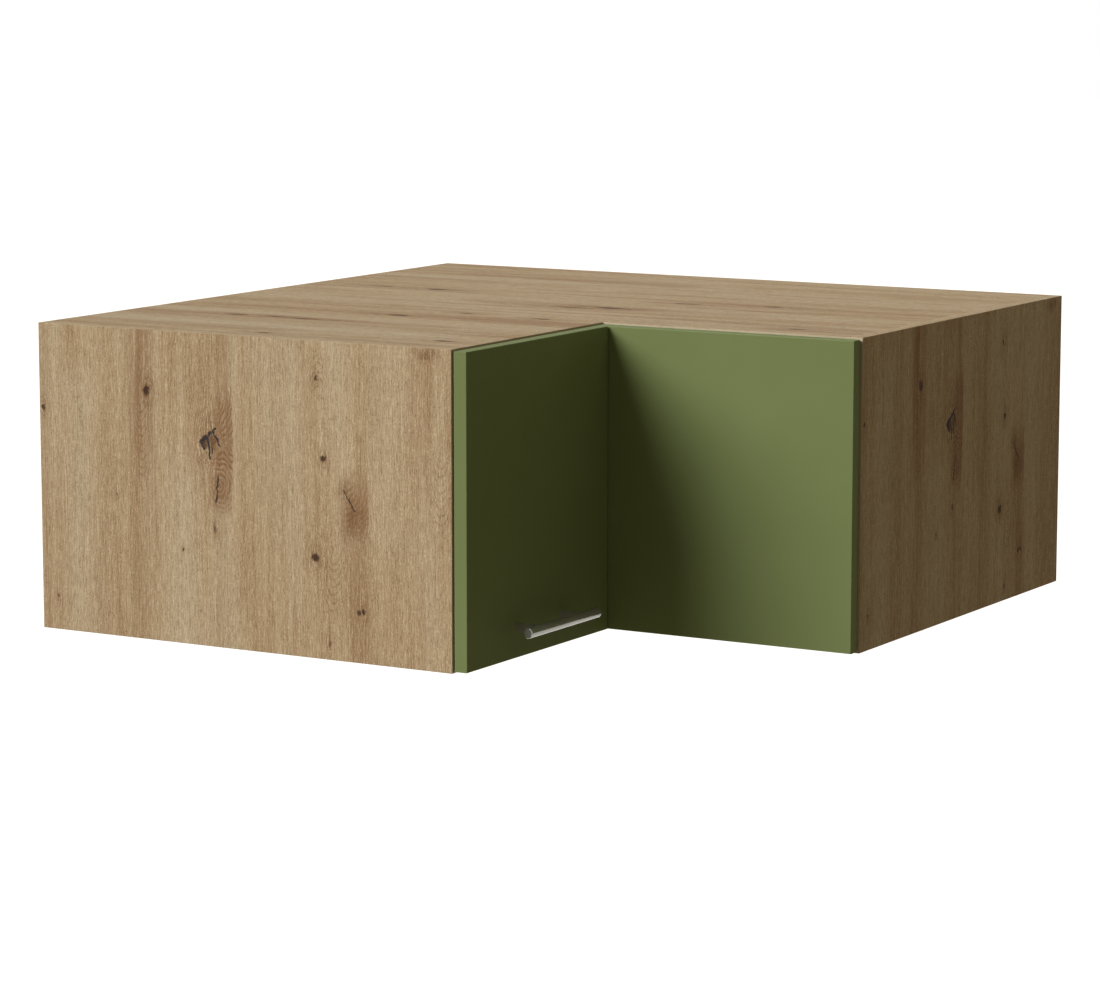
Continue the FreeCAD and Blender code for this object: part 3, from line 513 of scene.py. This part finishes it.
# Top and bottom: L-shaped 16 mm boards of the same oak-faced chipboard, fixed between the end
# panels with dowels and cams. Their grain runs along the right wing, whichever wing they lie in,
# and their marks are placed from the front left corner, across the grain first.
TOP_KNOTS = (
    (0.576, 0.187, 0.0055, 0.015, 0.95, 0.75),
    (0.481, 0.491, 0.0065, 0.016, 0.95, 0.75),
    (0.463, 0.448, 0.0050, 0.022, 0.45, 0.70),
    (0.282, 0.318, 0.0055, 0.014, 0.90, 0.75),
    (0.341, 0.375, 0.0040, 0.009, 0.80, 0.60),
    (0.329, 0.486, 0.0042, 0.011, 0.80, 0.60),
    (0.194, 0.145, 0.0048, 0.012, 0.80, 0.65),
    (0.573, 0.546, 0.0048, 0.016, 0.55, 0.65),
    (0.590, 0.655, 0.0045, 0.011, 0.80, 0.60),
    (0.379, 0.794, 0.0042, 0.010, 0.80, 0.60),
    (0.069, 0.512, 0.0050, 0.012, 0.80, 0.65),
    (0.192, 0.242, 0.0050, 0.018, 0.60, 0.75),
    (0.196, 0.200, 0.0045, 0.014, 0.50, 0.70),
    (0.040, 0.292, 0.0045, 0.011, 0.60, 0.60),
    (0.577, 0.105, 0.0045, 0.014, 0.50, 0.65),
)
TOP_BANDS = (
    (0.771, 0.020, 0.10, 0.45, 0.45),
    (0.285, 0.015, 0.36, 0.60, 0.45),
    (0.480, 0.018, 0.30, 0.70, 0.35),
    (0.590, 0.014, 0.55, 0.95, 0.35),
    (0.195, 0.012, -0.05, 0.45, 0.40),
    (0.120, 0.045, -0.05, 0.50, -0.5),
    (0.680, 0.030, -0.05, 0.95, -0.15),
    (0.366, 0.013, 0.74, 0.92, 0.42),
)
TOP_CRACKS = ((0.576, 0.180, 0.577, 0.215, 0.0012), (0.481, 0.480, 0.479, 0.520, 0.0014))
TOP_CURLS = ((0.455, 0.495, 0.43, 0.54, 0.3, 0.481, 0.491),)
TOP_MARKS = (TOP_KNOTS, TOP_BANDS, TOP_CRACKS, TOP_CURLS, ())
TOP_STREAKS = 0.50
top_oak = oak_print("oak_top", "top_panel", "Y", "X", -cad_low[1], TOP_STREAKS, TOP_MARKS)
dress(top_oak, "top_panel", "bottom_panel")

# Backs: two 3 mm hardboards slid into grooves, painted white inside and left raw brown behind.
# They are set in from the walls, to leave room for the hanging rail.


def back_board(name, across, middle):
    """Painted hardboard, its two faces told apart by the middle of its thickness."""
    material, tree, shader, place = new_finish(name, 0.6, specular=0.3)
    coords = axes_of(tree, place)
    felt = noise(tree, place, (700, 700, 700), detail=4.0, rough=0.7)
    cloud = noise(tree, place, (14, 14, 14))
    painted = shades(tree, cloud, (0.3, paint(226, 225, 220)), (0.7, paint(234, 233, 229)))
    raw = shades(tree, felt, (0.3, paint(112, 82, 54)), (0.5, paint(134, 101, 68)),
                 (0.7, paint(154, 120, 84)))
    raw = blended(tree, fade(tree, cloud, 0.35, 0.65, high=0.4), raw, paint(110, 80, 52))
    behind = fade(tree, coords[across], middle - SKIN, middle + SKIN)
    if across == "X":
        behind = sums(tree, "SUBTRACT", 1.0, behind)
    wire(tree, shader.inputs["Base Color"], blended(tree, behind, painted, raw))
    wire(tree, shader.inputs["Roughness"], sums(tree, "MULTIPLY_ADD", behind, 0.3, 0.45))
    coarse = sums(tree, "MULTIPLY_ADD", behind, 0.85, 0.15)
    relief(tree, shader, sums(tree, "MULTIPLY", felt, coarse), depth=0.0001)
    return material


for node_name, axis, index in (("left_back_panel", "X", 0), ("right_back_panel", "Y", 1)):
    low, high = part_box(node_name)
    dress(back_board(node_name + "_paint", axis, (low[index] + high[index]) / 2), node_name)

# Corner post and dowels: a planed softwood batten stood in the rear corner, which takes both backs
# and the corner hanger, and the beech dowels that hold it and line the boards up.


def planed_wood(name, light, dark, along, rings):
    """Plain close-grained wood, its grain along one axis and so many rings a metre across it."""
    material, tree, shader, place = new_finish(name, 0.6, specular=0.3)
    counts = tuple(3 if axis == along else rings for axis in "XYZ")
    threads = tuple(30 if axis == along else rings * 9 for axis in "XYZ")
    year = noise(tree, place, counts, detail=3.0, rough=0.6)
    thread = noise(tree, place, threads, rough=0.6)
    colour = shades(tree, fade(tree, year, 0.38, 0.62), (0.0, dark), (1.0, light))
    colour = blended(tree, sums(tree, "MULTIPLY", fade(tree, thread, 0.52, 0.66), 0.25), colour, dark)
    wire(tree, shader.inputs["Base Color"], colour)
    wire(tree, shader.inputs["Roughness"], fade(tree, thread, 0.3, 0.7, 0.5, 0.7))
    relief(tree, shader, thread, depth=0.00008)
    return material


dress(planed_wood("batten_wood", paint(214, 186, 142), paint(186, 150, 104), "Z", rings=130), "corner_post")
dress(planed_wood("dowel_beech", paint(212, 178, 138), paint(190, 150, 110), "X", rings=300), "dowels")

# Cams, bolts, hinge metal, hooks and screws: zinc castings and plated steel bought in.
# Castings are a little grainy, pressed steel is smoother, and screws are bright.


def plated_metal(name, light, dark, roughness, grain, depth):
    """Plated metal with clouded plating and a fine surface grain."""
    material, tree, shader, place = new_finish(name, roughness, metallic=1.0)
    cloud = noise(tree, place, (90, 90, 90), detail=3.0, rough=0.6)
    speck = noise(tree, place, (grain, grain, grain), rough=0.6)
    wire(tree, shader.inputs["Base Color"], shades(tree, cloud, (0.3, dark), (0.7, light)))
    wire(tree, shader.inputs["Roughness"], fade(tree, speck, 0.3, 0.7, roughness - 0.08, roughness + 0.1))
    relief(tree, shader, speck, depth)
    return material


zinc_casting = plated_metal("zinc_casting", paint(196, 196, 194), paint(160, 161, 160),
                            roughness=0.42, grain=1800, depth=0.00005)
dress(zinc_casting, "cam_discs", "lower_hinge_plate", "upper_hinge_plate", "lower_fold_plate",
      "upper_fold_plate")
nickel_pressing = plated_metal("nickel_pressing", paint(206, 204, 198), paint(180, 178, 172),
                               roughness=0.28, grain=2600, depth=0.00002)
dress(nickel_pressing, "lower_hinge_arm", "upper_hinge_arm", "lower_hinge_cup", "upper_hinge_cup",
      "lower_fold_cup", "upper_fold_cup", "lower_fold_arm", "upper_fold_arm", "hinge_pins", "fold_pins",
      "fold_rivets")
zinc_screw = plated_metal("zinc_screw", paint(208, 207, 203), paint(182, 181, 176),
                          roughness=0.3, grain=2600, depth=0.00002)
dress(zinc_screw, "cam_bolts", "hanger_screws", "hinge_plate_screws", "hinge_arm_screws", "cup_screws",
      "fold_plate_screws", "handle_screws", "left_hanger_hook", "corner_hanger_hook", "right_hanger_hook")

# Hangers: white moulded plastic bodies in the top rear corners, each with a steel hook for the
# wall rail, and two soft clear pads on the left end panel that the left front closes on.


def moulded(name, colour, shadow, roughness, depth):
    """Moulded plastic with a fine spark-eroded grain."""
    material, tree, shader, place = new_finish(name, roughness)
    cloud = noise(tree, place, (40, 40, 40))
    grain = noise(tree, place, (2200, 2200, 2200), rough=0.6)
    wire(tree, shader.inputs["Base Color"], shades(tree, cloud, (0.3, shadow), (0.7, colour)))
    wire(tree, shader.inputs["Roughness"], fade(tree, grain, 0.3, 0.7, roughness - 0.06, roughness + 0.08))
    relief(tree, shader, grain, depth)
    return material


hanger_white = moulded("hanger_white", paint(228, 227, 222), paint(216, 215, 209), 0.42, depth=0.00004)
dress(hanger_white, "left_hanger", "corner_hanger", "right_hanger")
soft_pad = moulded("soft_pad", paint(206, 206, 200), paint(192, 192, 186), 0.3, depth=0.00002)
dress(soft_pad, "door_bumpers")

# Fronts: two 16 mm slab doors in a matt moss-green foil, square-edged with a tape of the same
# green. The right one hangs on the right end panel, and the left one folds on the right one.
# A painted highlight along every arris of the doors: its width, soft edge and strength.
ARRIS = 0.001
ARRIS_SOFT = 0.0002
ARRIS_HIGHLIGHT_DEPTH = 0.22


def green_foil(name, node_name):
    """Matt coloured foil with a fine pearl grain, and a painted highlight along the arrises where light
    catches the edges.
    """
    material, tree, shader, place = new_finish(name, 0.55, specular=0.03)
    coords = axes_of(tree, place)
    cloud = noise(tree, place, (6, 6, 6))
    pearl = noise(tree, place, (900, 900, 900), detail=3.0, rough=0.65)
    speck = noise(tree, place, (2600, 2600, 2600), detail=1.0)
    colour = shades(tree, cloud, (0.3, paint(110, 121, 77)), (0.7, paint(115, 126, 82)))
    colour = blended(tree, fade(tree, pearl, 0.35, 0.75, high=0.22), colour, paint(104, 115, 71))
    rims = []
    for axis, lowest, highest in zip("XYZ", *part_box(node_name)):
        middle = (lowest + highest) / 2
        reach = (highest - lowest) / 2 - ARRIS
        off = sums(tree, "ABSOLUTE", sums(tree, "SUBTRACT", coords[axis], middle))
        rims.append(fade(tree, off, reach - ARRIS_SOFT, reach + ARRIS_SOFT))
    pairs = [sums(tree, "MULTIPLY", rims[a], rims[b]) for a, b in ((0, 1), (0, 2), (1, 2))]
    arris_highlight = sums(tree, "MAXIMUM", sums(tree, "MAXIMUM", pairs[0], pairs[1]), pairs[2])
    # Painted highlight: a paler green along every arris, where light would catch the edges.
    colour = blended(tree, sums(tree, "MULTIPLY", arris_highlight, ARRIS_HIGHLIGHT_DEPTH), colour, paint(138, 147, 106))
    wire(tree, shader.inputs["Base Color"], colour)
    wire(tree, shader.inputs["Roughness"], fade(tree, pearl, 0.3, 0.7, 0.5, 0.62))
    skin = sums(tree, "MULTIPLY_ADD", pearl, 0.7, sums(tree, "MULTIPLY", speck, 0.3))
    relief(tree, shader, skin, depth=0.00006)
    return material


for node_name in ("right_door", "left_door"):
    dress(green_foil(node_name + "_foil", node_name), node_name)

# Handle: a 12 mm round bar of stainless steel on two turned posts, brushed along its length and
# screwed through the left front from inside.
material, tree, shader, place = new_finish("brushed_steel", 0.3, metallic=0.5)
brush = noise(tree, place, (2400, 60, 2400), detail=3.0, rough=0.6)
cloud = noise(tree, place, (60, 20, 60))
steel = shades(tree, cloud, (0.3, paint(160, 160, 155)), (0.7, paint(172, 172, 167)))
wire(tree, shader.inputs["Base Color"], steel)
wire(tree, shader.inputs["Roughness"], fade(tree, brush, 0.3, 0.7, 0.17, 0.26))
relief(tree, shader, brush, depth=0.00003)
dress(material, "handle_bar", "near_handle_post", "far_handle_post")

# Room: a pale floor a wall cabinet's height below, one large soft lamp high at the left front, a
# faint warm one from behind, and an even fill from all round. The floor and the sky read white to
# the camera.
FLOOR_LEVEL = -1.4
FLOOR_REACH = 40.0
FLOOR_GLOW = 0.95
WHITE = (1.0, 1.0, 1.0, 1.0)
FILL = (0.175, 0.152, 0.106, 1.0)
middle_x, middle_y = ((cad_low[axis] + cad_high[axis]) / 2 for axis in (0, 1))
shape = bmesh.new()
bmesh.ops.create_grid(shape, x_segments=1, y_segments=1, size=FLOOR_REACH,
                      matrix=Matrix.Translation((middle_x, middle_y, FLOOR_LEVEL)))
mesh = bpy.data.meshes.new("floor")
shape.to_mesh(mesh)
shape.free()
floor = bpy.data.objects.new("floor", mesh)
bpy.context.scene.collection.objects.link(floor)
floor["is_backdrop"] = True


def seen_white(tree):
    """1 for what the camera sees itself, in metal or through glass, and 0 for soft light."""
    path = tree.nodes.new("ShaderNodeLightPath")
    direct = sums(tree, "MAXIMUM", path.outputs["Is Camera Ray"], path.outputs["Is Glossy Ray"])
    return sums(tree, "MAXIMUM", direct, path.outputs["Is Transmission Ray"])


material, tree, shader, place = new_finish("floor_paint", 0.9, specular=0.0)
shader.inputs["Base Color"].default_value = paint(138, 130, 112)
shader.inputs["Emission Color"].default_value = WHITE
wire(tree, shader.inputs["Emission Strength"], sums(tree, "MULTIPLY", seen_white(tree), FLOOR_GLOW))
floor.data.materials.append(material)

world = bpy.data.worlds.new("studio")
bpy.context.scene.world = world
world.use_nodes = True
tree = world.node_tree
sky = tree.nodes["Background"]
wire(tree, sky.inputs["Color"], blended(tree, seen_white(tree), FILL, WHITE))


def soft_lamp(name, energy, tint, spread, shines):
    """A far lamp as wide as its spread in degrees, shining along a direction."""
    lamp = bpy.data.objects.new(name, bpy.data.lights.new(name, "SUN"))
    lamp.data.energy = energy
    lamp.data.color = tint
    lamp.data.angle = math.radians(spread)
    lamp.rotation_mode = "QUATERNION"
    lamp.rotation_quaternion = Vector(shines).to_track_quat("-Z", "Y")
    bpy.context.scene.collection.objects.link(lamp)


soft_lamp("key", energy=3.81, tint=(1.0, 1.0, 1.0), spread=35, shines=(0.488, 0.682, -0.545))
soft_lamp("rim", energy=0.27, tint=(1.0, 0.86, 0.64), spread=60, shines=(-0.70, -0.70, 0.10))

# Camera: the photograph's own standpoint, front right and a little above the cabinet.
# The lens is long, so the cabinet's upright edges stay nearly parallel.
CAMERA_PLACE = Vector((2.8044, -4.5021, 0.8322))
CAMERA_LOOK = Vector((-0.50058, 0.85281, -0.14878))
CAMERA_LENS = 127.98
CAMERA_SENSOR = 36.0
camera = bpy.data.objects.new("camera", bpy.data.cameras.new("camera"))
camera.data.sensor_width = CAMERA_SENSOR
camera.data.lens = CAMERA_LENS
camera.location = CAMERA_PLACE
camera.rotation_mode = "QUATERNION"
camera.rotation_quaternion = CAMERA_LOOK.to_track_quat("-Z", "Y")
bpy.context.scene.collection.objects.link(camera)
bpy.context.scene.camera = camera
bpy.context.scene.view_settings.view_transform = "Standard"

low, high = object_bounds()
